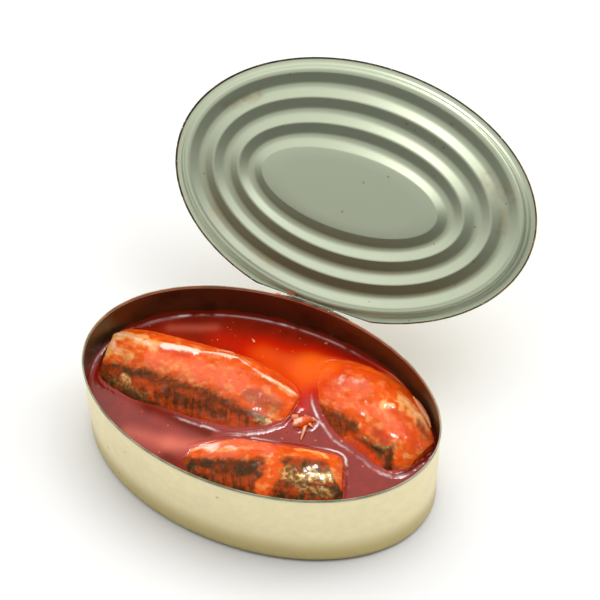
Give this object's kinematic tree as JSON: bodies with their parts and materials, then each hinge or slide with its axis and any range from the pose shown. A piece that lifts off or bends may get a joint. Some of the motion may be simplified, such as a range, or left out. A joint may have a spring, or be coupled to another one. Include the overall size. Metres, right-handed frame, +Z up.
{
  "type": "opened tin of mackerel in tomato sauce",
  "caption": "Open oval tin holding mackerel chunks in tomato sauce, its ribbed lid bent back on an uncut strip that acts as the hinge.",
  "frame": {"origin": "centre of the tin's flat base", "axes": "+X along the long axis of the oval, +Y from the middle of the tin towards the lid's hinge, +Z up"},
  "size_m": [0.1672, 0.1853, 0.1141],
  "materials": {
    "gold_lacquer": "pale gold lacquer on drawn tinplate, satin, brown inside",
    "grey_green_lacquer": "satin grey-green lacquer on pressed tinplate",
    "tomato_sauce": "wet glossy tomato sauce, dusty rose where the sky reflects in it",
    "fish_flesh": "cooked fish flesh and dark mottled skin under a wet film of sauce"
  },
  "bodies": {
    "tin": {"tin_body": "gold_lacquer", "sauce": "tomato_sauce", "fish_back": "fish_flesh", "fish_right": "fish_flesh", "fish_front": "fish_flesh", "fish_flake": "fish_flesh"},
    "lid": {"lid": "grey_green_lacquer"}
  },
  "joints": [
    {"name": "lid_hinge", "type": "hinge", "parent": "tin", "child": "lid", "pos_m": [0, 0.05185, 0.04415], "axis": [-1, 0, 0], "range_deg": [-138.7, 40]}
  ]
}
